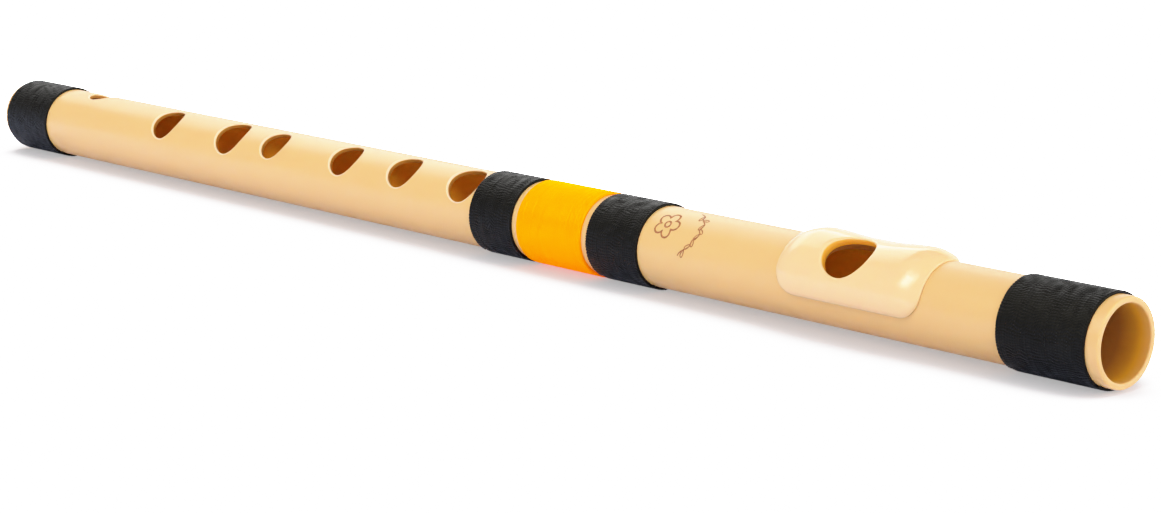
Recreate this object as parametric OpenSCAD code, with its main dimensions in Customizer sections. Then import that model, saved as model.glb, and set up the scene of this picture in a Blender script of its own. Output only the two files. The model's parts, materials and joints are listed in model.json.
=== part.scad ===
// Side-blown keyless flute: a moulded plastic tube with seven finger holes, a glued-on lip
// plate, a cork stopper inside the head and five bindings of wound thread.
// Frame: millimetres, +X from the foot end to the head end along the bore, +Z up when the
// flute lies on its bindings, origin at the centre of the foot-end mouth.

/* [Tube] */
// Overall length of the tube
tube_len = 371; // [368:1:380]
// Outside diameter of the tube
tube_od = 17.5; // [17:0.1:18]
// Wall thickness of the tube
tube_wall = 1.3; // [1.1:0.05:1.5]
// Rounding of the rims at both open ends
rim_round = 0.4; // [0.1:0.05:0.5]
// Lean of the finger-hole row from straight up, towards -Y
row_lean = 38; // [0:1:60]

/* [Finger holes, numbered from the head] */
// Distance of hole 1 from the foot end
hole_1_x = 191.2; // [190:0.1:191.4]
// Diameter of hole 1
hole_1_d = 9.8; // [8:0.1:10]
// Distance of hole 2 from the foot end
hole_2_x = 169; // [167:0.1:171]
// Diameter of hole 2
hole_2_d = 9.2; // [8:0.1:10]
// Distance of hole 3 from the foot end
hole_3_x = 147; // [145:0.1:149]
// Diameter of hole 3
hole_3_d = 9.2; // [8:0.1:10]
// Distance of hole 4 from the foot end
hole_4_x = 119; // [117:0.1:121]
// Diameter of hole 4
hole_4_d = 8.4; // [7:0.1:9]
// Distance of hole 5 from the foot end
hole_5_x = 101; // [99:0.1:103]
// Diameter of hole 5
hole_5_d = 10.2; // [9:0.1:10.5]
// Distance of hole 6 from the foot end
hole_6_x = 73; // [71:0.1:75]
// Diameter of hole 6
hole_6_d = 9.4; // [8:0.1:10]
// Distance of hole 7, the foot vent, from the foot end
hole_7_x = 35; // [32:0.1:38]
// Diameter of hole 7
hole_7_d = 8.4; // [7:0.1:9]
// Turn of hole 7 away from the row, back towards +Y
hole_7_turn = 46; // [30:1:60]

/* [Embouchure and lip plate] */
// Distance of the embouchure's centre from the foot end
blow_x = 308.2; // [307:0.1:310]
// Length of the embouchure along the tube
blow_len = 11.7; // [11:0.1:12.5]
// Width of the embouchure round the tube
blow_w = 10.8; // [10:0.1:11]
// Length of the tube's own hole beneath the lip plate
under_len = 13.9; // [12.5:0.1:14]
// Width of the tube's own hole round the tube
under_w = 11.2; // [11:0.1:11.5]
// Distance of the lip plate's foot-side edge from the foot end
plate_x = 291.2; // [290:0.1:292]
// Length of the lip plate along the tube
plate_len = 37.6; // [36:0.1:39]
// Half the angle that the lip plate wraps round the tube
plate_half_wrap = 72; // [66:1:76]
// Lean of the lip plate's crown from straight up, towards -Y
plate_lean = 30; // [24:1:36]
// Crown thickness of the lip plate at its two humps
plate_hump = 2.0; // [1.8:0.05:2.2]
// Crown thickness of the lip plate in the saddle between the humps
plate_saddle = 1.45; // [1.3:0.05:1.6]
// Crown thickness of the lip plate at its two end edges
plate_end = 0.9; // [0.8:0.05:1]
// Corner radius of the lip plate
plate_corner = 5; // [4:0.1:6]
// How far the plate's outer face is struck off the tube's axis, which thins its long edges
plate_offset = 0.8; // [0.5:0.1:1]

/* [Stopper] */
// Length of the cork stopper
stopper_len = 20; // [15:0.5:24]
// Distance of the stopper's inner face from the embouchure's centre
stopper_setback = 15.3; // [14:0.1:18]
// Radial clearance between the stopper and the bore
stopper_clear = 0.03; // [0.02:0.01:0.06]
// Bevel on both ends of the stopper
stopper_bevel = 0.8; // [0.4:0.1:1.5]

/* [Thread bindings] */
// Height of the black bindings above the tube
black_h = 0.6; // [0.5:0.05:0.8]
// Height of the yellow binding above the tube
yellow_h = 0.6; // [0.5:0.05:0.8]
// Distance of the foot binding from the foot end
foot_bind_x = 1.6; // [1:0.1:2]
// Width of the foot binding
foot_bind_w = 19.8; // [18:0.1:22]
// Distance of the first centre binding from the foot end
centre_foot_x = 196.8; // [196.6:0.1:197.4]
// Width of the first centre binding
centre_foot_w = 14.6; // [13:0.1:15]
// Distance of the yellow binding from the foot end
yellow_x = 212.8; // [212.5:0.1:213]
// Width of the yellow binding
yellow_w = 21; // [20:0.1:21.5]
// Distance of the last centre binding from the foot end
centre_head_x = 235.3; // [235:0.1:236]
// Width of the last centre binding
centre_head_w = 16.2; // [15:0.1:17]
// Distance of the head binding from the head end
head_bind_gap = 2.3; // [1.5:0.1:3.5]
// Width of the head binding
head_bind_w = 21; // [18:0.1:22]

/* [Hidden] */

tube_r = tube_od / 2;
bore_r = tube_r - tube_wall;
head_bind_x = tube_len - head_bind_gap - head_bind_w;
stopper_x = blow_x + stopper_setback;
edge_round = 0.25;        // outer corners of the thread bindings
past = 2;                 // how far a cutter runs past the surface it opens
reach = tube_r + plate_hump + past;
finger_holes = [[hole_1_x, hole_1_d], [hole_2_x, hole_2_d], [hole_3_x, hole_3_d],
                [hole_4_x, hole_4_d], [hole_5_x, hole_5_d], [hole_6_x, hole_6_d]];

CREAM = [0.94, 0.79, 0.56];
PALE_CREAM = [0.97, 0.86, 0.68];
CORK = [0.72, 0.53, 0.34];
BLACK_THREAD = [0.10, 0.10, 0.11];
YELLOW_THREAD = [1.00, 0.72, 0.03];

$fn = 96;
shallow_fn = 720;         // the long shallow arcs of the lip plate

// Radius of the circle through both ends of a chord, with this rise at its middle
function arc_radius(half_chord, rise) = (half_chord * half_chord + rise * rise) / (2 * rise);

// Revolves a profile drawn as [radius, distance along X] about the tube's axis, all round or
// over an angle centred on +Z
module along_x(from = 0, wrap = 360)
    translate([from, 0, 0]) rotate([0, 90, 0]) rotate([0, 0, 180 - wrap / 2])
        rotate_extrude(angle = wrap) children();

// Places a shape drawn along +Z so that it points out of the tube at x, leaning towards -Y
module radial(x, lean) translate([x, 0, 0]) rotate([lean, 0, 0]) children();

// ---- tube ----

// Section of the wall: a long bar whose four corners are rounded
module wall_section() {
    translate([bore_r, rim_round]) square([tube_wall, tube_len - 2 * rim_round]);
    translate([bore_r + rim_round, 0]) square([tube_wall - 2 * rim_round, tube_len]);
    for (r = [bore_r + rim_round, tube_r - rim_round], x = [rim_round, tube_len - rim_round])
        translate([r, x]) circle(r = rim_round);
}

// The embouchure's cutter: two round ends and the flat between them
module blow_hole(length, width) {
    shift = (length - width) / 2;
    radial(blow_x, row_lean) {
        for (side = [-shift, shift]) translate([side, 0, 0]) cylinder(d = width, h = reach);
        translate([-shift, -width / 2, 0]) cube([2 * shift, width, reach]);
    }
}

module body_tube() {
    color(CREAM) difference() {
        along_x() wall_section();
        for (hole = finger_holes)
            radial(hole[0], row_lean) cylinder(d = hole[1], h = reach);
        radial(hole_7_x, row_lean - hole_7_turn) cylinder(d = hole_7_d, h = reach);
        blow_hole(under_len, under_w);
    }
}

// ---- lip plate ----

// Outer outline of the plate along the tube: two end arcs that rise to the humps, and a
// shallow saddle between them
module plate_section() {
    ramp = plate_len / 5;
    top = tube_r + plate_hump - plate_offset;
    end_arc = arc_radius(ramp, plate_hump - plate_end);
    saddle_arc = arc_radius(plate_len / 2 - ramp, plate_hump - plate_saddle);
    difference() {
        union() {
            translate([0, ramp]) square([top, plate_len - 2 * ramp]);
            intersection() {
                square([top, ramp]);
                translate([top - end_arc, ramp]) circle(r = end_arc, $fn = shallow_fn);
            }
            intersection() {
                translate([0, plate_len - ramp]) square([top, ramp]);
                translate([top - end_arc, plate_len - ramp]) circle(r = end_arc, $fn = shallow_fn);
            }
        }
        translate([top - plate_hump + plate_saddle + saddle_arc, plate_len / 2])
            circle(r = saddle_arc, $fn = shallow_fn);
    }
}

// The waste outside a rounded corner at this end of the plate and on this side of its crown
module corner_waste(end_x, along, side) {
    turn = plate_half_wrap - plate_corner / tube_r * 180 / PI;
    inner_x = end_x - along * plate_corner;
    radial(inner_x, plate_lean + side * turn) difference() {
        translate([along > 0 ? 0 : -plate_corner - past, side > 0 ? -plate_corner - past : 0, 0])
            cube([plate_corner + past, plate_corner + past, reach]);
        translate([0, 0, -past]) cylinder(r = plate_corner, h = reach + 2 * past);
    }
}

module lip_plate() {
    color(PALE_CREAM) difference() {
        intersection() {
            radial(0, plate_lean) translate([0, 0, plate_offset]) along_x(plate_x) plate_section();
            radial(0, plate_lean) along_x(plate_x - past, 2 * plate_half_wrap)
                square([reach, plate_len + 2 * past]);
        }
        translate([plate_x - past, 0, 0]) rotate([0, 90, 0])
            cylinder(r = tube_r, h = plate_len + 2 * past);
        for (side = [-1, 1]) {
            corner_waste(plate_x, -1, side);
            corner_waste(plate_x + plate_len, 1, side);
        }
        blow_hole(blow_len, blow_w);
    }
}

// ---- stopper ----

module stopper() {
    r = bore_r - stopper_clear;
    color(CORK) along_x(stopper_x) polygon([
        [0, 0], [r - stopper_bevel, 0], [r, stopper_bevel], [r, stopper_len - stopper_bevel],
        [r - stopper_bevel, stopper_len], [0, stopper_len]]);
}

// ---- thread bindings ----

// One band of close-wound thread: a sleeve on the tube with rounded outer corners
module binding(x, width, height) {
    along_x(x) {
        translate([tube_r, 0]) square([height - edge_round, width]);
        translate([tube_r, edge_round]) square([height, width - 2 * edge_round]);
        for (t = [edge_round, width - edge_round])
            translate([tube_r + height - edge_round, t]) circle(r = edge_round);
    }
}

module foot_binding() color(BLACK_THREAD) binding(foot_bind_x, foot_bind_w, black_h);
module centre_foot_binding() color(BLACK_THREAD) binding(centre_foot_x, centre_foot_w, black_h);
module centre_yellow_binding() color(YELLOW_THREAD) binding(yellow_x, yellow_w, yellow_h);
module centre_head_binding() color(BLACK_THREAD) binding(centre_head_x, centre_head_w, black_h);
module head_binding() color(BLACK_THREAD) binding(head_bind_x, head_bind_w, black_h);

body_tube();
lip_plate();
stopper();
foot_binding();
centre_foot_binding();
centre_yellow_binding();
centre_head_binding();
head_binding();
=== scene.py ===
"""Looks for the side-blown flute: moulded tube and lip plate, wound thread bindings and cork.

Meshes are worked out in millimetres in the CAD frame (+X from the foot end to the head end,
+Z up) and turned into metres when they are made. A place on the tube is (x, lean), where lean
is the angle in degrees from straight up towards -Y.
"""
import json
import math

import bmesh
import bpy
import numpy as np
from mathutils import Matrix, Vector

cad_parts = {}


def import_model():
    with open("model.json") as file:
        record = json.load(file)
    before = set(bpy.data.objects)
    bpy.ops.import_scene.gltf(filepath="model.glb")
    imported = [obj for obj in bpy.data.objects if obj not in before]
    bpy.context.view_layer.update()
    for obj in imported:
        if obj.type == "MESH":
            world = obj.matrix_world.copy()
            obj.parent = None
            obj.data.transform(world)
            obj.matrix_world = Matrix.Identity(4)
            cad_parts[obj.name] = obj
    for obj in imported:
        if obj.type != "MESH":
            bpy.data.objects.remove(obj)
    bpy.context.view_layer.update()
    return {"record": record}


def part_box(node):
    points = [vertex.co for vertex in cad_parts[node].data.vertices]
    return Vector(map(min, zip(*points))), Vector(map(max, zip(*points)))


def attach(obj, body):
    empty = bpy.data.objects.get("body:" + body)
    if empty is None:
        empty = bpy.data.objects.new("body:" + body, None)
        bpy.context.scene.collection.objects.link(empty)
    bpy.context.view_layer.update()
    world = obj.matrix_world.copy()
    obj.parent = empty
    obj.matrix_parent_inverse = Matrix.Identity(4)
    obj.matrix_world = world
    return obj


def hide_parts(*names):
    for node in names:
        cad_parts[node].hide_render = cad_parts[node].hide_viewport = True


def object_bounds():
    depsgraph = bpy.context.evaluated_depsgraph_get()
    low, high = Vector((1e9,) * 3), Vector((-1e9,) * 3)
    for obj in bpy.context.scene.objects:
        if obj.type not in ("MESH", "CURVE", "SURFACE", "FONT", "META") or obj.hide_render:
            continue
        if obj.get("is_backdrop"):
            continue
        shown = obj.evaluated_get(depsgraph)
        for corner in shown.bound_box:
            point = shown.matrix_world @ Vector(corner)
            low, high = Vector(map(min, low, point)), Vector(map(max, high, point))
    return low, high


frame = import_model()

MM = 0.001
record = frame["record"]


def box_mm(node):
    low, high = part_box(node)
    return np.array(low) / MM, np.array(high) / MM


# ---------------------------------------------------------------- sizes from the CAD frame
tube_low, tube_high = box_mm("body_tube")
TUBE_LEN = tube_high[0]
TUBE_R = (tube_high[2] - tube_low[2]) / 2
BORE_R = next(m for m in record["mounts"] if m["name"] == "foot_bore")["dims"]["r_mm"]
plate_low, plate_high = box_mm("lip_plate")

# The tube's holes: distance from the foot end, diameter, lean
ROW_LEAN = 38.0
FINGER_HOLES = [(191.2, 9.8), (169.0, 9.2), (147.0, 9.2), (119.0, 8.4), (101.0, 10.2), (73.0, 9.4)]
FOOT_VENT = (35.0, 8.4, -8.0)
BLOW_X, BLOW_LEN, BLOW_W = 308.2, 11.7, 10.8     # through the plate
UNDER_LEN, UNDER_W = 13.9, 11.2                 # through the tube beneath it
RIM_ROUND = 0.4          # both open ends
HOLE_ROUND = 0.5         # outer edge of a finger hole
BORE_ROUND = 0.15        # inner edge of a hole
UNDER_ROUND = 0.06       # outer edge of the hole beneath the plate
GLUE = 0.01              # how far the pieces on the tube are sunk into it

# Lip plate
PLATE_LEAN = 30.0        # its crown
PLATE_WRAP = 72.0        # half the angle it covers
PLATE_CORNER = 5.2
PLATE_HUMP, PLATE_SADDLE = 2.0, 1.45
BLOW_ROUND = 0.5         # outer edge of the embouchure

# How the plate thins, in mm and degrees of lean: the humps run down to the ends over PLATE_RAMP
PLATE_RAMP = 6.0
PLATE_SIDE_RAMP, PLATE_SIDE_SHORTER = 7.0, 3.0   # towards the long edges; shorter on the upper side
PLATE_UPPER = 85.0, 75.0                         # the upper side takes over from this lean, over this
PLATE_LIP = 1.2                                  # roll of the outline itself
PLATE_THIN, PLATE_THINNER = 0.42, 0.2            # height of the outline; less on the upper side
PLATE_THINS = 25.0, 40.0                         # the outline thins from this lean, over this
PLATE_SADDLE_ENDS = 0.1, 0.6                     # the saddle's ends, as shares of half the length
PLATE_SADDLE_SIDE = 48.0                         # the saddle fades out towards this lean

# Where a point of the plastic is, for its colour: on a thin rounded edge (a painted highlight), on
# the outside, in the bore (a painted amber glow), on the wall of a drilled hole (painted shade), or
# where a binding or the plate keeps light out (deeper painted shade)
PAINTED_RIM_LIGHT, OUTSIDE, INSIDE, PAINTED_WALL_SHADE, SHADED = -1.0, 0.0, 1.0, 1.85, 2.0

rng = np.random.default_rng(7)


# ---------------------------------------------------------------- mesh helpers
def on_tube(x, lean, r):
    """Points in mm at distance x, lean in radians and radius r from the bore's axis."""
    x, lean, r = np.broadcast_arrays(x, lean, r)
    return np.stack([x, -r * np.sin(lean), r * np.cos(lean)], -1)


class Skin:
    """A growing mesh: points in mm and quads between rows of point numbers."""

    def __init__(self):
        self.points, self.deep, self.faces, self.count = [], [], [], 0

    def add(self, points, deep=0.0):
        """Adds points; deep tells the material where they are, from painted rim highlight to painted
        shade.
        """
        points = np.asarray(points, float).reshape(-1, 3)
        ids = np.arange(self.count, self.count + len(points))
        self.points.append(points)
        self.deep.append(np.broadcast_to(deep, len(points)))
        self.count += len(points)
        return ids

    def strip(self, a, b, closed=True):
        """Quads between two rows of point numbers."""
        if closed:
            a, b = np.append(a, a[0]), np.append(b, b[0])
        self.faces += np.stack([a[:-1], a[1:], b[1:], b[:-1]], 1).tolist()

    def rings(self, rows, closed=True):
        for a, b in zip(rows[:-1], rows[1:]):
            self.strip(a, b, closed)

    def build(self, name, material, body, slot, *replaced):
        points = np.concatenate(self.points)
        used = np.unique(np.concatenate([np.array(f) for f in self.faces]))
        renumber = np.zeros(len(points), int)
        renumber[used] = np.arange(len(used))
        faces = [[int(renumber[i]) for i in f] for f in self.faces]
        mesh = bpy.data.meshes.new(name)
        mesh.from_pydata((points[used] * MM).tolist(), [], faces)
        deep = np.concatenate(self.deep)[used].astype(np.float32)
        if deep.any():
            mesh.attributes.new("deep", "FLOAT", "POINT").data.foreach_set("value", deep)
        work = bmesh.new()
        work.from_mesh(mesh)
        bmesh.ops.recalc_face_normals(work, faces=work.faces)
        work.to_mesh(mesh)
        work.free()
        mesh.shade_smooth()
        return piece(name, mesh, material, body, slot, *replaced)


def piece(name, mesh, material, body, slot, *replaced):
    obj = bpy.data.objects.new(name, mesh)
    bpy.context.scene.collection.objects.link(obj)
    mesh.materials.append(material)
    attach(obj, body)
    if replaced:
        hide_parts(*replaced)
    return obj


# ---------------------------------------------------------------- material helpers
class Nodes:
    """A new material's node tree, with short calls for the nodes used here."""

    def __init__(self, name):
        self.material = bpy.data.materials.new(name)
        self.material.use_nodes = True
        self.tree = self.material.node_tree
        self.shader = self.tree.nodes["Principled BSDF"]
        self.place = self.tree.nodes.new("ShaderNodeTexCoord").outputs["Object"]

    def new(self, kind, settings=(), **inputs):
        node = self.tree.nodes.new("ShaderNode" + kind)
        for key, value in dict(settings).items():
            setattr(node, key, value)
        for key, value in inputs.items():
            self.put(node.inputs[key.replace("_", " ")], value)
        return node

    def put(self, socket, value):
        if isinstance(value, bpy.types.NodeSocket):
            self.tree.links.new(value, socket)
        else:
            socket.default_value = value

    def set(self, **inputs):
        for key, value in inputs.items():
            self.put(self.shader.inputs[key.replace("_", " ")], value)

    def stretched(self, x, y, z, source=None):
        return self.new("Mapping", Vector=source or self.place, Scale=(x, y, z)).outputs["Vector"]

    def noise(self, vector, scale, detail=3.0, roughness=0.5):
        return self.new("TexNoise", Vector=vector, Scale=scale, Detail=detail,
                        Roughness=roughness).outputs["Fac"]

    def ramp(self, fac, *stops):
        """A colour ramp: stops are (position, colour)."""
        node = self.new("ValToRGB", Fac=fac)
        elements = node.color_ramp.elements
        while len(elements) < len(stops):
            elements.new(0.5)
        for element, (position, colour) in zip(elements, stops):
            element.position = position
            element.color = (*colour, 1.0)
        return node.outputs["Color"]

    def span(self, fac, low, high, start=0.0, end=1.0):
        node = self.new("MapRange", Value=fac)
        for key, value in (("From Min", start), ("From Max", end), ("To Min", low), ("To Max", high)):
            node.inputs[key].default_value = value
        return node.outputs["Result"]

    def math(self, operation, a, b=0.0):
        node = self.new("Math", {"operation": operation})
        self.put(node.inputs[0], a)
        self.put(node.inputs[1], b)
        return node.outputs["Value"]

    def blend(self, fac, a, b):
        node = self.new("Mix", {"data_type": "RGBA"})
        self.put(node.inputs[0], fac)
        self.put(node.inputs[6], a)
        self.put(node.inputs[7], b)
        return node.outputs[2]

    def bump(self, height, strength, distance, under=None):
        node = self.new("Bump", Height=height, Strength=strength, Distance=distance)
        if under is not None:
            self.put(node.inputs["Normal"], under)
        return node.outputs["Normal"]


def rgb(r, g, b):
    """Linear colour from 0-255 screen values."""
    return tuple(((c / 255 + 0.055) / 1.055) ** 2.4 for c in (r, g, b))


def cream_plastic(name, pale, deep, inner, edge, shaded, rough, ior, glow):
    """Moulded plastic: light sinks in a little, with faint clouding and handling marks.

    pale and deep are its colours outside. inner is a painted amber inside the holes and the bore,
    standing in for light that comes through the wall and bounces inside; edge is a painted highlight
    on the thin rounded rims; shaded is painted shade where light is kept from coming through the wall.
    glow is how much light comes through elsewhere: deeper subsurface scattering, and a painted glow
    in the colour inner that fades out towards the painted shade.
    """
    n = Nodes(name)
    cloud = n.noise(n.stretched(0.2, 1, 1), 30, 1)
    colour = n.ramp(cloud, (0.3, deep), (0.7, pale))
    place = n.new("Attribute", {"attribute_name": "deep"}).outputs["Fac"]
    # painted highlight on the thin rounded rims
    colour = n.blend(n.span(place, 1.0, 0.0, -1.0, 0.0), colour, (*edge, 1.0))
    inside = n.span(place, 0.0, 1.0)
    # painted amber inside, then painted shade where a binding or the plate keeps light out
    colour = n.blend(inside, colour, (*inner, 1.0))
    under = n.span(place, 0.0, 1.0, INSIDE, SHADED)
    colour = n.blend(under, colour, (*shaded, 1.0))
    rub = n.noise(n.stretched(0.5, 1, 1), 200, 3, 0.6)
    skin = n.bump(n.noise(n.place, 900, 2), 0.01, 0.00005)
    # the emission is a painted glow in the colour inner, fading out towards the painted shade
    n.set(Base_Color=colour, Roughness=n.span(rub, rough - 0.01, rough + 0.02, 0.3, 0.7), Normal=skin,
          IOR=ior, Subsurface_Weight=n.span(inside, 0.3, 0.3 + 0.7 * glow),
          Subsurface_Scale=n.span(inside, 0.0015, 0.0015 + 0.0025 * glow),
          Subsurface_Radius=(1.0, 0.6, 0.25), Emission_Color=(*inner, 1.0),
          Emission_Strength=n.math("MULTIPLY", n.span(inside, 0.0, 0.25 * glow),
                                   n.span(under, 1.0, 0.0)))
    return n.material


def thread(name, dark, mid, light, rough, shine, gleam, silk=0.0):
    """Plied thread: fine fibres that run along the winding. It shines in the colour gleam.

    silk is how much it is like bright dyed silk, and also how strong its painted orange-red glow is.
    """
    n = Nodes(name)
    uv = n.new("UVMap").outputs["UV"]
    fibre = n.noise(n.stretched(2.2, 9, 1, uv), 1.0, 4, 0.6)
    patch = n.noise(n.place, 120, 3)
    tone = n.math("ADD", n.math("MULTIPLY", fibre, 0.65), n.math("MULTIPLY", patch, 0.35))
    colour = n.ramp(tone, (0.34, dark), (0.52, mid), (0.7, light))
    lint = n.bump(n.noise(n.place, 5200, 2), 0.25, 0.00006)
    strands = n.bump(fibre, 0.35, 0.00008, lint)
    # the emission is a painted orange-red glow, scaled by silk
    n.set(Base_Color=colour, Roughness=n.span(fibre, rough - 0.08, rough + 0.1), Normal=strands,
          Specular_IOR_Level=shine, Specular_Tint=(*gleam, 1.0), Metallic=silk, Sheen_Weight=silk * 2,
          Sheen_Roughness=0.5, Sheen_Tint=(*gleam, 1.0), Emission_Color=(*PAINTED_GLOW, 1.0),
          Emission_Strength=0.6 * silk)
    return n.material


def cork_material():
    n = Nodes("cork")
    grain = n.noise(n.place, 500, 6, 0.6)
    colour = n.ramp(grain, (0.3, rgb(140, 92, 52)), (0.5, rgb(190, 140, 92)), (0.7, rgb(214, 170, 122)))
    cells = n.new("TexVoronoi", {"feature": "DISTANCE_TO_EDGE"}, Vector=n.stretched(0.6, 1, 1), Scale=1500)
    pits = n.noise(n.stretched(1, 1, 0.4), 420, 3)
    pit = n.span(pits, 1.0, 0.0, 0.36, 0.42)
    colour = n.blend(pit, colour, (*rgb(70, 40, 22), 1.0))
    relief = n.bump(n.span(cells.outputs["Distance"], 0.0, 1.0, 0.0, 0.12), 0.3, 0.0001)
    n.set(Base_Color=colour, Roughness=0.85, Normal=n.bump(grain, 0.4, 0.0003, relief))
    return n.material


def mark_material():
    """Burnt-in ornament: browner where the burn is deeper."""
    n = Nodes("burnt_mark")
    burn = n.noise(n.place, 1500, 4, 0.6)
    n.set(Base_Color=n.ramp(burn, (0.35, rgb(140, 78, 34)), (0.65, rgb(188, 118, 62))), Roughness=0.6,
          Normal=n.bump(burn, 0.3, 0.0001))
    return n.material


def floor_material():
    """White sweep with a painted shadow close to the flute, as in a whitened product picture."""
    n = Nodes("studio_floor")
    path = n.new("LightPath").outputs
    seen = path["Is Camera Ray"]
    grain = n.noise(n.place, 12, 3)
    # painted shadow: to the camera the floor glows brighter where the flute leaves the sky open
    sky = n.new("AmbientOcclusion", {"samples": 16}, Distance=FLOOR_SKY).outputs["AO"]
    glow = n.math("ADD", n.math("MULTIPLY", n.math("POWER", sky, FLOOR_FADE), FLOOR_OPEN), FLOOR_SHADE)
    tint = n.blend(seen, (*FLOOR_CAST, 1.0), (*FLOOR_TINTED, 1.0))
    white = n.new("BsdfDiffuse", Color=tint, Roughness=n.span(grain, 0.4, 0.6))
    shine = n.new("Emission", Color=(1.0, 1.0, 1.0, 1.0), Strength=n.math("MULTIPLY", glow, seen))
    both = n.tree.nodes.new("ShaderNodeAddShader")
    n.put(both.inputs[0], white.outputs[0])
    n.put(both.inputs[1], shine.outputs[0])
    n.put(n.tree.nodes["Material Output"].inputs["Surface"], both.outputs[0])
    return n.material


PAINTED_GLOW = (1.0, 0.05, 0.0)            # the painted orange-red glow of the bright yellow thread
FLOOR_SKY = 0.25                          # how far in metres the flute closes off the sky
FLOOR_CAST = (1.26, 1.39, 1.88)           # floor's colour as a light on the flute
FLOOR_TINTED = (0.47, 0.43, 0.45)         # floor's colour to the camera, lit by the flute as well
# The floor's own painted light to the camera, which paints its shadow: FLOOR_SHADE, and up to FLOOR_OPEN
# more where the sky is open
FLOOR_SHADE, FLOOR_OPEN, FLOOR_FADE = 0.35, 5.4, 6.0
# inner, edge and shaded below are the painted amber, painted rim highlight and painted shade
TUBE_PLASTIC = cream_plastic(
    "tube_plastic", pale=rgb(234, 184, 114), deep=rgb(232, 181, 110), inner=rgb(226, 162, 44),
    edge=rgb(250, 208, 162), shaded=rgb(168, 110, 48), rough=0.33, ior=1.47, glow=0.1)
# the plate's glow of 0.9 paints a bright amber glow into its embouchure wall
PLATE_PLASTIC = cream_plastic(
    "plate_plastic", pale=rgb(252, 203, 144), deep=rgb(250, 200, 140), inner=rgb(248, 174, 50),
    edge=rgb(252, 222, 176), shaded=rgb(168, 110, 48), rough=0.115, ior=1.47, glow=0.9)
BLACK_THREAD = thread(
    "black_thread", dark=rgb(7, 6, 5), mid=rgb(12, 11, 9), light=rgb(26, 25, 22),
    rough=0.36, shine=0.11, gleam=rgb(255, 249, 226))
YELLOW_THREAD = thread(
    "yellow_thread", dark=rgb(255, 154, 0), mid=rgb(255, 162, 0), light=rgb(255, 170, 0),
    rough=0.45, shine=0.0, gleam=rgb(255, 222, 0), silk=0.5)
CORK = cork_material()
MARK = mark_material()


# ---------------------------------------------------------------- tube
ROUND_STEPS = 160        # points round the tube
WINDOW_HALF = 25         # half a hole's window, in steps round the tube
WINDOW_COLUMNS = 16      # steps along a hole's window
WINDOW_ROWS = 0.75, 0.52, 0.32, 0.16, 0.06      # rows between the window and the hole, as shares
WINDOW_MARGIN = 2.6      # from the hole's rounded edge to the ends of its window
MOUTH_PAINTED_LIGHT = 0.4         # painted light: how pale the bore is at its very mouths
MOUTH_REACH = 6.5        # how far in that fades
BOUND_REACH = 23.0       # how far in the end bindings reach, with painted shade in the bore under them
BOUND_FADE = 3.0         # over what length light comes back past them, as the painted shade fades


def ease(t):
    t = np.clip(t, 0, 1)
    return t * t * (3 - 2 * t)


class Hole:
    """A hole drilled square to the bore's axis, with a round or oval outline.

    rim_deep and wall_deep tell the material where its rounded edge and its wall are, for the painted
    highlight and shade they get. Its window is the stretch of the tube's skin that is filled in round it.
    """

    def __init__(self, x, lean, len_x, width, outer_round, rim_deep=PAINTED_RIM_LIGHT, wall_deep=PAINTED_WALL_SHADE):
        self.x, self.lean = x, math.radians(lean)
        self.a, self.b = len_x / 2, width / 2
        self.outer_round, self.rim_deep, self.wall_deep = outer_round, rim_deep, wall_deep
        self.half = self.a + outer_round + WINDOW_MARGIN     # half the window's length

    def outline(self, angle, grow):
        """Offsets along the tube and across the hole at angle, on the outline grown by grow."""
        return (self.a + grow) * np.cos(angle), (self.b + grow) * np.sin(angle)

    def wall(self, angle, grow, r, drop):
        """Points on the outline grown by grow, drop mm above or below a cylinder of radius r."""
        along, across = self.outline(angle, grow)
        out = np.sqrt(r * r - across * across) + drop
        return on_tube(self.x + along, self.lean + np.arctan2(across, out), np.hypot(across, out))


def rounding(steps):
    """Shares (grow, drop) of a quarter round from the face to the wall."""
    bend = np.linspace(0, math.pi / 2, steps + 1)
    return [(1 - math.sin(b), 1 - math.cos(b)) for b in bend]


def bore_depth(x):
    """INSIDE (painted amber) in the bore, SHADED (painted shade) within the two end bindings and paler at
    the very mouths (painted light).
    """
    end = np.minimum(x, TUBE_LEN - x)
    return np.where(end < MOUTH_REACH, MOUTH_PAINTED_LIGHT + (SHADED - MOUTH_PAINTED_LIGHT) * ease(end / MOUTH_REACH),
                    SHADED - (SHADED - INSIDE) * ease((end - BOUND_REACH) / BOUND_FADE))


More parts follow.
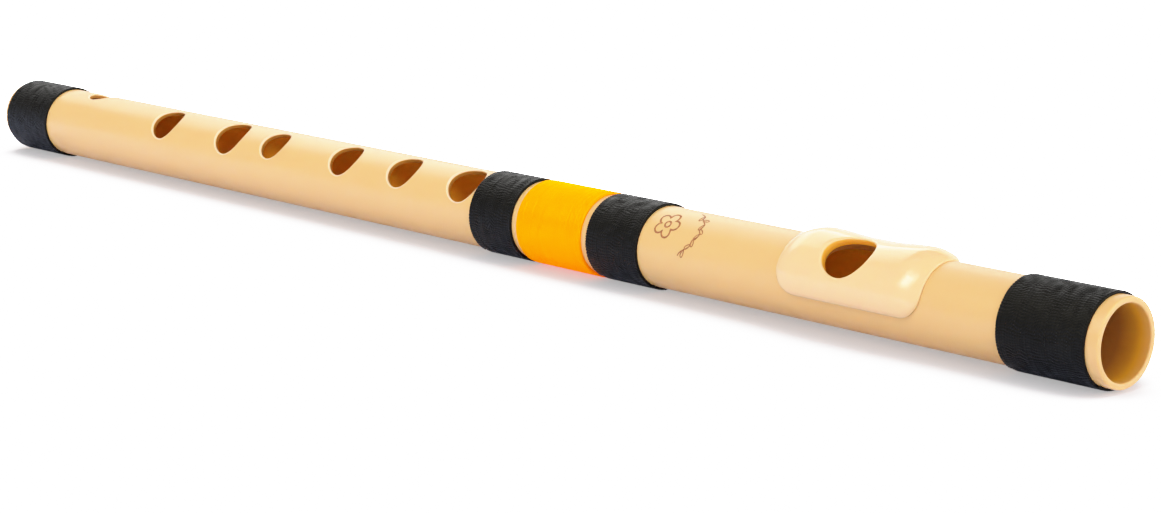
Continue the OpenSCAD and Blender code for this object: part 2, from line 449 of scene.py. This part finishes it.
def body_tube():
    holes = [Hole(x, ROW_LEAN, d, d, HOLE_ROUND) for x, d in FINGER_HOLES]
    holes.append(Hole(FOOT_VENT[0], FOOT_VENT[2], FOOT_VENT[1], FOOT_VENT[1], HOLE_ROUND))
    # the hole beneath the plate: painted shade on its rim and its wall
    holes.append(Hole(BLOW_X, ROW_LEAN, UNDER_LEN, UNDER_W, UNDER_ROUND, SHADED, SHADED))
    holes.sort(key=lambda hole: hole.x)

    # distances along the tube: fine across each hole's window, coarse between windows
    xs = [RIM_ROUND]
    for hole in holes:
        start, end = hole.x - hole.half, hole.x + hole.half
        xs += list(np.linspace(xs[-1], start, max(2, int((start - xs[-1]) / 4)) + 1)[1:])
        hole.first = len(xs) - 1
        xs += list(np.linspace(start, end, WINDOW_COLUMNS + 1)[1:])
        hole.last = len(xs) - 1
    xs += list(np.linspace(xs[-1], TUBE_LEN - RIM_ROUND, 16)[1:])
    xs = np.array(xs)
    leans = math.radians(ROW_LEAN) + np.arange(ROUND_STEPS) * 2 * math.pi / ROUND_STEPS

    skin = Skin()
    sheets = {}
    for r in (TUBE_R, BORE_R):
        grid = np.broadcast_arrays(xs[:, None], leans[None, :])
        # the bore: painted amber, painted shade under the end bindings, painted light at the mouths
        deep = bore_depth(grid[0].ravel()) if r == BORE_R else OUTSIDE
        sheets[r] = skin.add(on_tube(grid[0], grid[1], r), deep).reshape(len(xs), ROUND_STEPS)
    is_open = np.zeros((len(xs) - 1, ROUND_STEPS), bool)
    for hole in holes:
        middle = round((hole.lean - leans[0]) / (2 * math.pi) * ROUND_STEPS)
        hole.steps = (np.arange(-WINDOW_HALF, WINDOW_HALF + 1) + middle) % ROUND_STEPS
        is_open[hole.first:hole.last, hole.steps[:-1]] = True
    for sheet in sheets.values():
        right = np.roll(sheet, -1, axis=1)
        quads = np.stack([sheet[:-1], right[:-1], right[1:], sheet[1:]], -1)
        skin.faces += quads[~is_open].tolist()

    # rims of the open ends
    for end, inward in ((0.0, 1), (TUBE_LEN, -1)):
        row = 0 if inward > 0 else -1
        rows = [sheets[TUBE_R][row]]
        bends = np.linspace(0, math.pi / 2, 6)
        for bend in bends[1:]:
            r = TUBE_R - RIM_ROUND * (1 - math.cos(bend))
            rows.append(skin.add(on_tube(end + inward * RIM_ROUND * (1 - math.sin(bend)), leans, r)))
        for bend in bends[::-1][:-1]:
            r = BORE_R + RIM_ROUND * (1 - math.cos(bend))
            rows.append(skin.add(on_tube(end + inward * RIM_ROUND * (1 - math.sin(bend)), leans, r)))
        rows.append(sheets[BORE_R][row])
        skin.rings(rows)

    for hole in holes:
        open_hole(skin, hole, sheets, xs, leans)
    return skin.build("body_tube_shell", TUBE_PLASTIC, "flute", "tube_plastic", "body_tube")


def open_hole(skin, hole, sheets, xs, leans):
    """Fills the hole's window in both sheets up to the drilled and rounded edge."""
    columns = np.arange(hole.first, hole.last + 1)
    steps = hole.steps
    loop = [(c, steps[0]) for c in columns[:-1]] + [(columns[-1], s) for s in steps[:-1]]
    loop += [(c, steps[-1]) for c in columns[:0:-1]] + [(columns[0], s) for s in steps[:0:-1]]
    column, step = (np.array(v) for v in zip(*loop))
    along = xs[column] - hole.x
    turn = leans[step] - hole.lean
    turn = (turn + math.pi) % (2 * math.pi) - math.pi
    angle = np.arctan2(turn / np.abs(turn).max(), along / hole.half)

    rows = {}
    for r, edge in ((TUBE_R, hole.outer_round), (BORE_R, BORE_ROUND)):
        rim_along, rim_across = hole.outline(angle, edge)
        rim_turn = np.arcsin(rim_across / r)
        rows[r] = [sheets[r][column, step]]
        for share in WINDOW_ROWS:
            x = hole.x + rim_along + (along - rim_along) * share
            lean = hole.lean + rim_turn + (turn - rim_turn) * share
            rows[r].append(skin.add(on_tube(x, lean, r), INSIDE if r == BORE_R else OUTSIDE))
        into_wall = -1 if r == TUBE_R else 1
        # the rounded rim gets rim_deep and the drilled wall wall_deep, the hole's painted highlight and
        # shade; the bore's side gets the painted amber
        for grow, drop in rounding(6 if r == TUBE_R else 3):
            if r == BORE_R:
                deep = INSIDE if drop < 0.02 else hole.wall_deep
            else:
                deep = OUTSIDE if drop < 0.02 else hole.wall_deep if drop > 0.98 else hole.rim_deep
            rows[r].append(skin.add(hole.wall(angle, edge * grow, r, into_wall * edge * drop), deep))
    skin.rings(rows[TUBE_R] + rows[BORE_R][::-1])


body_tube()


# ---------------------------------------------------------------- lip plate
def dome(t):
    """Rises from 0 to 1 like a quarter round as t goes from 0 to 1."""
    return np.sqrt(1 - (1 - np.clip(t, 0, 1)) ** 2)


def fading(lean, start, run):
    """Rises from 0 to 1 as lean falls from start degrees by run degrees."""
    return ease((math.radians(start) - lean) / math.radians(run))


PLATE_X = (plate_low[0] + plate_high[0]) / 2
PLATE_HALF = (plate_high[0] - plate_low[0]) / 2
PLATE_ARC = math.radians(PLATE_WRAP) * TUBE_R


def inside_plate(x, lean):
    """Distances in mm from the plate's outline, its end edges and its long edges."""
    along = np.abs(x - PLATE_X)
    arc = np.abs(lean - math.radians(PLATE_LEAN)) * TUBE_R
    qx = along - PLATE_HALF + PLATE_CORNER
    qy = arc - PLATE_ARC + PLATE_CORNER
    outside = np.hypot(np.maximum(qx, 0), np.maximum(qy, 0)) + np.minimum(np.maximum(qx, qy), 0)
    return PLATE_CORNER - outside, PLATE_HALF - along, PLATE_ARC - arc


def plate_thickness(x, lean):
    """Two humps with a shallow saddle between, thinning towards every edge."""
    edge, end, side = inside_plate(x, lean)
    upper = fading(lean, *PLATE_UPPER)
    saddle_start, saddle_run = PLATE_SADDLE_ENDS
    dip = 1 - ease((np.abs(x - PLATE_X) / PLATE_HALF - saddle_start) / saddle_run)
    dip = dip * fading(lean, PLATE_SADDLE_SIDE, PLATE_SADDLE_SIDE)
    crown = PLATE_HUMP - (PLATE_HUMP - PLATE_SADDLE) * dip
    thin = PLATE_THIN - PLATE_THINNER * fading(lean, *PLATE_THINS)
    ramp = 1 - (1 - np.clip(end / PLATE_RAMP, 0, 1)) ** 2
    across = dome(side / (PLATE_SIDE_RAMP - PLATE_SIDE_SHORTER * upper))
    return thin + (crown - thin) * ramp * across * dome(edge / PLATE_LIP)


def lip_plate():
    blow = Hole(BLOW_X, ROW_LEAN, BLOW_LEN, BLOW_W, BLOW_ROUND)
    count = 288              # rays from the hole to the plate's outline
    angle = np.arange(count) * 2 * math.pi / count
    # where each ray leaves the plate, by halving
    rim_along, rim_across = blow.outline(angle, BLOW_ROUND)
    rim_turn = np.arcsin(rim_across / (TUBE_R + PLATE_SADDLE))
    near, far = np.zeros(count), np.full(count, 60.0)
    for _ in range(40):
        middle = (near + far) / 2
        x = BLOW_X + np.cos(angle) * middle
        lean = blow.lean + np.sin(angle) * middle / TUBE_R
        inside = inside_plate(x, lean)[0] > 0
        near, far = np.where(inside, middle, near), np.where(inside, far, middle)
    out_x, out_lean = BLOW_X + np.cos(angle) * near, blow.lean + np.sin(angle) * near / TUBE_R

    skin = Skin()
    rows = []
    # up the chimney from the tube, over the rounded edge; the chimney wall gets the painted amber glow,
    # fading out part way up the rounding
    top_r = TUBE_R + plate_thickness(BLOW_X + rim_along, blow.lean + rim_turn)
    rows.append(skin.add(blow.wall(angle, 0, TUBE_R - GLUE, 0), INSIDE))
    for grow, drop in rounding(7)[::-1]:
        along, across = blow.outline(angle, BLOW_ROUND * grow)
        out = np.sqrt(top_r ** 2 - across ** 2) - BLOW_ROUND * drop
        rows.append(skin.add(on_tube(BLOW_X + along, blow.lean + np.arctan2(across, out),
                                     np.hypot(across, out)), max(0, 2 * drop - 1.2)))
    # over the crown to the edge
    for share in np.linspace(0, 1, 34)[1:] ** 0.8:
        x = BLOW_X + rim_along + (out_x - BLOW_X - rim_along) * share
        lean = blow.lean + rim_turn + (out_lean - blow.lean - rim_turn) * share
        rows.append(skin.add(on_tube(x, lean, TUBE_R + plate_thickness(x, lean))))
    # down the edge and back underneath
    for share in (0.5, 0.0):
        r = TUBE_R + share * plate_thickness(out_x, out_lean) - GLUE * (1 - share)
        rows.append(skin.add(on_tube(out_x, out_lean, r)))
    under_along, under_across = blow.outline(angle, 0)
    under_turn = np.arcsin(under_across / TUBE_R)
    for share in (0.75, 0.5, 0.25):
        x = BLOW_X + under_along + (out_x - BLOW_X - under_along) * share
        lean = blow.lean + under_turn + (out_lean - blow.lean - under_turn) * share
        rows.append(skin.add(on_tube(x, lean, TUBE_R - GLUE)))
    rows.append(rows[0])
    skin.rings(rows)
    return skin.build("lip_plate_shell", PLATE_PLASTIC, "flute", "plate_plastic", "lip_plate")


lip_plate()


# ---------------------------------------------------------------- thread bindings
def ripple(x, lean, waves, shortest, longest):
    """A smooth random field over the tube, of about -1 to 1, with waves of these lengths in mm."""
    field = np.zeros(np.broadcast(x, lean).shape)
    for _ in range(waves):
        heading, length = rng.uniform(0, 2 * math.pi), rng.uniform(shortest, longest)
        along = 2 * math.pi / length * math.cos(heading)
        around = round(2 * math.pi / length * math.sin(heading) * TUBE_R)
        field = field + np.cos(along * x + around * lean + rng.uniform(0, 2 * math.pi))
    return field / math.sqrt(waves / 2) * 0.7


def smooth_noise(length, knots):
    """A closed, smooth random curve of this many samples through this many random knots."""
    values = rng.normal(size=knots)
    spots = np.arange(length) * knots / length
    low = np.floor(spots).astype(int)
    t = ease(spots - low)
    return values[low % knots] * (1 - t) + values[(low + 1) % knots] * t


START_LEAN = 150.0       # where the thread starts, out of sight below
WANDER = 0.10            # how far the thread strays, as a share of its width
UNEVEN = 0.015           # how uneven its height is, as a share of the binding's height
EDGE_HEIGHT = 0.45       # height of the outermost edges, likewise
ZIGZAG, SLANT = 3.6, 1.6                         # how far the plies run askew, at large and in a turn
CREST, CREST_SWING = 0.75, 0.3                   # how deep the gaps between plies are, and its swing


def binding(node, material, slot, pitch, across, around, groove, strand=0.0, ply_len=1.0):
    """Close-wound thread as one solid: a helical ribbon whose neighbouring turns share an edge.

    pitch is the thread's width, groove how deep the joins between turns are, strand how far the
    plies stand out and ply_len their spacing along the thread. across and around are the mesh
    steps over the thread's width and round the tube.
    """
    low, high = box_mm(node)
    height = high[2] - TUBE_R
    turns = int(round((high[0] - low[0]) / pitch)) - 1
    pitch = (high[0] - low[0]) / (turns + 1)
    steps = turns * around
    s = np.arange(steps + 1)
    w = np.linspace(0, 1, across + 1)
    turn = s / around
    lean = math.radians(START_LEAN) - 2 * math.pi * turn

    # the thread's path wanders a little, but not at the binding's two ends
    wander = WANDER * pitch * smooth_noise(steps + 1, turns * 5)
    wander = wander * np.minimum(1, np.minimum(turn, turns - turn))
    x = low[0] + pitch * (turn[:, None] + w[None, :]) + wander[:, None]
    bulge = np.sqrt(1 - (1 - 2 * w) ** 2)
    level = UNEVEN * height * smooth_noise(steps + 1, turns * 3)[:, None]
    r = TUBE_R + height - groove + groove * bulge[None, :] + level
    if strand:
        plies = round(2 * math.pi * (TUBE_R + height) / ply_len)
        phase = plies * lean[:, None] + SLANT * (w[None, :] - 0.5)
        phase = phase + ZIGZAG * ripple(x, lean[:, None], 14, 2.5, 8.0)
        phase = phase + 0.5 * smooth_noise(steps + 1, turns * 12)[:, None]
        crest = CREST + CREST_SWING * ripple(x, lean[:, None], 10, 1.5, 5.0)
        r = r - strand * (1 - np.abs(np.cos(phase / 2)) ** 0.9) * np.clip(crest, 0.15, 1.2)
    # the outermost edges roll down to the tube
    outermost = TUBE_R + EDGE_HEIGHT * height
    r[: around + 1, 0] = np.minimum(r[: around + 1, 0], outermost)
    r[steps - around:, -1] = np.minimum(r[steps - around:, -1], outermost)
    r = np.minimum(r, TUBE_R + height)

    skin = Skin()
    top = skin.add(on_tube(x, lean[:, None], r)).reshape(steps + 1, across + 1)
    foot = skin.add(on_tube(x[:, [0, -1]], lean[:, None], TUBE_R - GLUE)).reshape(steps + 1, 2)
    top[: steps + 1 - around, -1] = top[around:, 0]
    foot[: steps + 1 - around, -1] = foot[around:, 0]
    quads = np.stack([top[:-1, :-1], top[1:, :-1], top[1:, 1:], top[:-1, 1:]], -1)
    skin.faces += quads.reshape(-1, 4).tolist()
    skin.strip(foot[:, 0], foot[:, 1], closed=False)
    skin.strip(top[: around + 1, 0], foot[: around + 1, 0], closed=False)
    skin.strip(top[steps - around:, -1], foot[steps - around:, -1], closed=False)
    for row in (0, steps):
        skin.faces.append(top[row].tolist() + [int(foot[row, 1]), int(foot[row, 0])])
    obj = skin.build(node + "_thread", material, "flute", slot, node)
    thread_uv(obj.data)
    return obj


def thread_uv(mesh):
    """UVs in mm: along the thread, and across the turns."""
    co = np.zeros(len(mesh.vertices) * 3)
    mesh.vertices.foreach_get("co", co)
    co = co.reshape(-1, 3) / MM
    lean = np.arctan2(-co[:, 1], co[:, 2])
    corner = np.zeros(len(mesh.loops), np.int32)
    mesh.loops.foreach_get("vertex_index", corner)
    starts = np.zeros(len(mesh.polygons), np.int32)
    totals = np.zeros(len(mesh.polygons), np.int32)
    mesh.polygons.foreach_get("loop_start", starts)
    mesh.polygons.foreach_get("loop_total", totals)
    face_of = np.repeat(np.arange(len(starts)), totals)
    turn = lean[corner]
    first = turn[starts][face_of]
    turn = first + (turn - first + math.pi) % (2 * math.pi) - math.pi
    uv = np.stack([turn * TUBE_R, co[corner, 0]], 1)
    mesh.uv_layers.new(name="UVMap").data.foreach_set("uv", uv.ravel().astype(np.float32))


for black in ("foot_binding", "centre_foot_binding", "centre_head_binding", "head_binding"):
    binding(black, BLACK_THREAD, "black_thread", pitch=0.62, across=6, around=420, groove=0.02,
            strand=0.17, ply_len=0.62)
binding("centre_yellow_binding", YELLOW_THREAD, "yellow_thread", pitch=0.34, across=3, around=240,
        groove=0.05)


# ---------------------------------------------------------------- burnt ornament
class Burn(Skin):
    """Thin burnt lines on the tube, each a closed ribbon sunk into the surface."""

    PROUD, SUNK = 0.02, 0.06
    FINE, BROAD = 0.26, 0.42     # widths of line

    def line(self, x, arc, width, closed=False):
        """A line through places x and arc, arc being mm round the tube from straight up."""
        if closed:
            dx, da = np.roll(x, -1) - np.roll(x, 1), np.roll(arc, -1) - np.roll(arc, 1)
        else:
            dx, da = np.gradient(x), np.gradient(arc)
        length = np.hypot(dx, da)
        side_x, side_a = -da / length * width / 2, dx / length * width / 2
        corners = []
        for side, r in ((1, TUBE_R + self.PROUD), (-1, TUBE_R + self.PROUD),
                        (-1, TUBE_R - self.SUNK), (1, TUBE_R - self.SUNK)):
            corners.append(self.add(on_tube(x + side * side_x, (arc + side * side_a) / TUBE_R, r)))
        for a, b in zip(corners, corners[1:] + corners[:1]):
            self.strip(a, b, closed)
        if not closed:
            for end in (0, -1):
                self.faces.append([int(c[end]) for c in corners])

    def leaf(self, x, arc, heading, length, width):
        t = np.arange(28) * 2 * math.pi / 28
        along = length * (1 - np.cos(t)) / 2
        across = width / 2 * np.sin(t) * (1 - 0.35 * np.cos(t))
        c, s = math.cos(heading), math.sin(heading)
        self.line(x + along * c - across * s, arc + along * s + across * c, self.FINE, closed=True)


def ornament():
    burn = Burn()
    # rosette
    x, arc = 257.3, math.radians(42) * TUBE_R
    t = np.arange(120) * 2 * math.pi / 120
    for reach, swing in ((1.75, 1.5), (0.75, 0.0)):
        out = reach + swing * np.abs(np.cos(2.5 * t)) ** 0.7
        burn.line(x + out * np.cos(t), arc + out * np.sin(t), burn.BROAD, closed=True)
    # leafy sprig that bows towards the head end
    t = np.linspace(-1, 1, 90)
    stem_arc = (45 + 38 * t) * math.pi / 180 * TUBE_R
    stem_x = 267.0 - 4.2 * t * t + 0.35 * np.sin(t * 13)
    burn.line(stem_x, stem_arc, burn.FINE)
    for i, at in enumerate(range(8, 86, 10)):
        side = 1 if i % 2 else -1
        lean_in = math.atan2(stem_arc[at + 1] - stem_arc[at], stem_x[at + 1] - stem_x[at])
        burn.leaf(stem_x[at], stem_arc[at], lean_in - side * 0.75, 1.7, 0.62)
    return burn.build("burnt_ornament", MARK, "flute", None)


ornament()


# ---------------------------------------------------------------- stopper
def stopper():
    low, high = box_mm("stopper")
    r = (high[2] - low[2]) / 2
    bevel = 0.8
    around, along = 160, 70
    lean = np.arange(around) * 2 * math.pi / around
    middle = np.linspace(low[0] + bevel, high[0] - bevel, along)
    xs = np.concatenate([[low[0], low[0] + bevel * 0.5], middle, [high[0] - bevel * 0.5, high[0]]])
    radius = np.minimum(r, r - bevel + np.minimum(xs - low[0], high[0] - xs))
    # pits where cork cells have broken out
    dents = np.zeros((len(xs), around))
    for _ in range(150):
        px, pl = rng.uniform(low[0], high[0]), rng.uniform(0, 2 * math.pi)
        size, depth = rng.uniform(0.25, 0.8), rng.uniform(0.1, 0.35)
        gap = (lean[None, :] - pl + math.pi) % (2 * math.pi) - math.pi
        d2 = ((xs[:, None] - px) / (size * 1.6)) ** 2 + (gap * r / size) ** 2
        dents = np.maximum(dents, depth * np.exp(-d2 * 1.5))
    skin = Skin()
    side = on_tube(xs[:, None], lean[None, :], radius[:, None] - dents)
    rows = list(skin.add(side).reshape(len(xs), around))
    for end, row in ((low[0], rows[0]), (high[0], rows[-1])):
        last = row
        for share in (0.9, 0.7, 0.5, 0.3, 0.12):
            r_in = (r - bevel) * share
            inward = 0.08 * (1 if end == low[0] else -1) * rng.uniform(0, 1, around)
            ring = skin.add(on_tube(end + inward, lean, r_in))
            skin.strip(last, ring)
            last = ring
        skin.faces.append(last.tolist())
    skin.rings(rows)
    return skin.build("cork_stopper", CORK, "stopper", "cork", "stopper")


stopper()


# ---------------------------------------------------------------- stage, light and camera
CEILING, FRONT_WALL, SIDE_WALL, BACK_WALL, HEAD_WALL = 0.17, 0.42, 0.42, 1.5, 1.9   # brightness
WHITE = 3.0                               # brightness of the plain background
SHOULDER = 0.75                           # where bright tones start to roll off


def stage():
    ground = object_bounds()[0].z
    bpy.ops.mesh.primitive_plane_add(size=6.0, location=(TUBE_LEN * MM / 2, 0, ground))
    floor = bpy.context.object
    floor.name = "studio_floor"
    floor.data.materials.append(floor_material())
    floor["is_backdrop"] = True
    return floor


def softbox(name, where, aim, width, height, radiance, shaded=None):
    """An area light that leaves the shaded object unlit."""
    light = bpy.data.lights.new(name, "AREA")
    light.shape = "RECTANGLE"
    light.size, light.size_y = width, height
    light.energy = math.pi * width * height * radiance
    obj = bpy.data.objects.new(name, light)
    bpy.context.scene.collection.objects.link(obj)
    obj.location = where
    obj.rotation_euler = (Vector(aim) - Vector(where)).to_track_quat("-Z", "Y").to_euler()
    if shaded:
        others = bpy.data.collections.new(name + "_leaves_out")
        others.objects.link(shaded)
        others.collection_objects[0].light_linking.link_state = "EXCLUDE"
        obj.light_linking.receiver_collection = others
    return obj


def camera():
    """The viewing angle: from the head end, a little above the flute."""
    aim = Vector((0.2238, 0.0, -0.0063))
    azimuth, elevation, distance = math.radians(47.6), math.radians(11.65), 0.6255
    offset = Vector((math.sin(azimuth) * math.cos(elevation), -math.cos(azimuth) * math.cos(elevation),
                     math.sin(elevation))) * distance
    data = bpy.data.cameras.new("camera")
    data.sensor_width = 36.0
    data.lens = 18.0 / math.tan(math.radians(23.02) / 2)
    data.clip_start = 0.01
    obj = bpy.data.objects.new("camera", data)
    bpy.context.scene.collection.objects.link(obj)
    obj.location = aim + offset
    obj.rotation_euler = (-offset).to_track_quat("-Z", "Y").to_euler()
    bpy.context.scene.camera = obj


def world():
    """White walls, plain white to the camera, brightest low down behind the flute, and a dim ceiling."""
    studio = bpy.data.worlds.new("studio")
    bpy.context.scene.world = studio
    studio.use_nodes = True
    tree = studio.node_tree

    def node(kind, **inputs):
        made = tree.nodes.new("ShaderNode" + kind)
        for key, value in inputs.items():
            socket = made.inputs[key.replace("_", " ")]
            if isinstance(value, bpy.types.NodeSocket):
                tree.links.new(value, socket)
            else:
                socket.default_value = value
        return made

    def fade(value, start, end, low, high):
        made = node("MapRange", Value=value, From_Min=start, From_Max=end, To_Min=low, To_Max=high)
        made.interpolation_type = "SMOOTHSTEP"
        return made.outputs["Result"]

    way = node("SeparateXYZ", Vector=node("TexCoord").outputs["Generated"]).outputs
    front = fade(way["Y"], -0.3, 0.1, FRONT_WALL, SIDE_WALL)
    back = fade(way["Y"], 0.25, 0.6, 0.0, BACK_WALL - SIDE_WALL)
    head = fade(way["X"], 0.3, 0.8, 0.0, HEAD_WALL)

    def add(a, b):
        both = node("Math")
        tree.links.new(a, both.inputs[0])
        tree.links.new(b, both.inputs[1])
        return both.outputs[0]

    walls = node("Mix", Factor=fade(way["Z"], 0.42, 0.62, 1.0, 0.0), A=CEILING, B=add(front, back))
    room = add(walls.outputs[0], head)
    seen = node("Mix", Factor=node("LightPath").outputs["Is Camera Ray"], A=room, B=WHITE)
    tree.links.new(seen.outputs[0], tree.nodes["Background"].inputs["Strength"])
    tree.nodes["Background"].inputs["Color"].default_value = (1.0, 1.0, 1.0, 1.0)


def tones():
    """Display tones: straight up to SHOULDER, then rolling off towards white."""
    view = bpy.context.scene.view_settings
    view.view_transform = "Standard"
    view.look = "None"
    view.use_curve_mapping = True
    mapping = view.curve_mapping
    mapping.white_level = (WHITE, WHITE, WHITE)
    points = mapping.curves[3].points
    above = np.linspace(0, WHITE - SHOULDER, 15)
    room = 1 - SHOULDER
    for x, y in zip(SHOULDER + above, 1 - room * np.exp(-above / room)):
        if x < WHITE:
            points.new(x / WHITE, y)
    mapping.update()


floor = stage()
world()
tones()
softbox("overhead", (-1.2, 0.65, 0.95), (-1.2, 0.65, 0), 1.4, 1.5, 2.5)
# the key light and its bright middle, placed so that the lip plate mirrors them at spot
spot = Vector((0.326, -0.008, 0.005))
towards_key = Vector((-0.22, -0.66, 0.72)).normalized()
softbox("key", spot + towards_key * 0.9, spot, 0.42, 0.66, 3.3, floor)
softbox("key_core", spot + towards_key * 0.89, spot, 0.22, 0.34, 7.0, floor)
camera()
